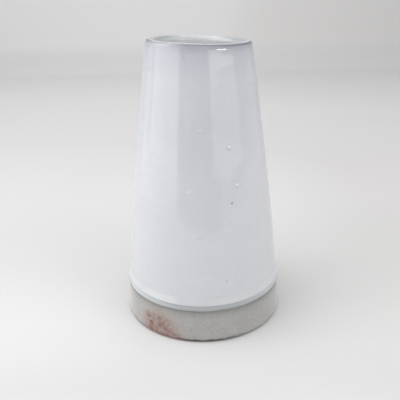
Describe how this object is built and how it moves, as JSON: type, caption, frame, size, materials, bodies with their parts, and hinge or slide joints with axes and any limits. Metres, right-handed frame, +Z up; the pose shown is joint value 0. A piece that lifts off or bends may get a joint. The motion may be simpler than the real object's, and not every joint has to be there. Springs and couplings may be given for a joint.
{
  "type": "bud vase",
  "caption": "Tapered, slightly bellied stoneware bud vase with an open mouth, a white dipped glaze and a bare clay foot band.",
  "frame": {"origin": "on the vase's axis, in the plane of the flat foot ring that it rests on", "axes": "+Z up along the axis of revolution; -Y is the side that faces the picture's camera, +X its right"},
  "size_m": [0.0746, 0.0746, 0.128],
  "materials": {
    "stoneware": "bare fired clay, fine sandy grain",
    "white_glaze": "glossy cool white glaze",
    "thin_glaze": "thin glossy glaze with the clay greying through"
  },
  "bodies": {
    "root": {"clay_body": "stoneware", "liner_glaze": "white_glaze", "first_glaze_coat": "thin_glaze", "second_glaze_coat": "white_glaze"}
  },
  "joints": []
}
